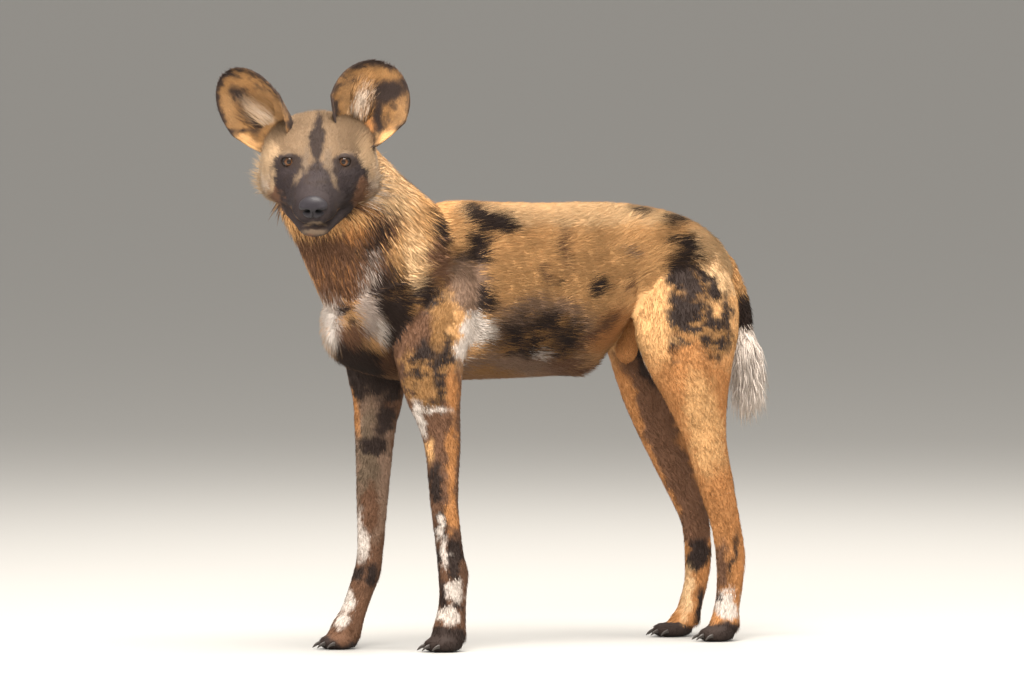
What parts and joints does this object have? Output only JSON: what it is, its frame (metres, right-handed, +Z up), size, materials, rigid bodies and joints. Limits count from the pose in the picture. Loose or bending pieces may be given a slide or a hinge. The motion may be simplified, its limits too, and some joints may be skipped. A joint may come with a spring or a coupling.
{
  "type": "african wild dog, still life-size model",
  "caption": "Standing African wild dog, life size, head turned to its left, with large round ears, blotched coat and white-tipped tail.",
  "frame": {"origin": "middle of the dog's box, on the floor under its feet", "axes": "+Z up, the dog's chest faces -Y, its left side is +X"},
  "size_m": [0.2782, 0.9244, 0.8873],
  "materials": {
    "coat_tan": "short fur",
    "coat_dark": "short fur",
    "coat_white": "long bushy fur",
    "coat_legs": "short fur",
    "ears": "thin fur",
    "nose": "moist grained skin",
    "eyes": "wet gloss",
    "skin": "thinly haired skin",
    "claws": "horn"
  },
  "bodies": {
    "root": {"head": "coat_tan", "lower_jaw": "coat_dark", "nose": "nose", "ear_left": "ears", "ear_right": "ears", "eye_left": "eyes", "eye_right": "eyes", "neck": "coat_tan", "chest": "coat_tan", "belly": "coat_tan", "rump": "coat_tan", "tail_base": "coat_tan", "tail_band": "coat_dark", "tail_brush": "coat_white", "foreleg_left_upper": "coat_legs", "foreleg_left_forearm": "coat_legs", "foreleg_left_paw": "coat_dark", "foreleg_right_upper": "coat_legs", "foreleg_right_forearm": "coat_legs", "foreleg_right_paw": "coat_dark", "hindleg_left_thigh": "coat_tan", "hindleg_left_shank": "coat_legs", "hindleg_left_metatarsus": "coat_legs", "hindleg_left_paw": "coat_dark", "hindleg_right_thigh": "coat_tan", "hindleg_right_shank": "coat_legs", "hindleg_right_metatarsus": "coat_legs", "hindleg_right_paw": "coat_dark", "scrotum": "skin"}
  },
  "joints": []
}
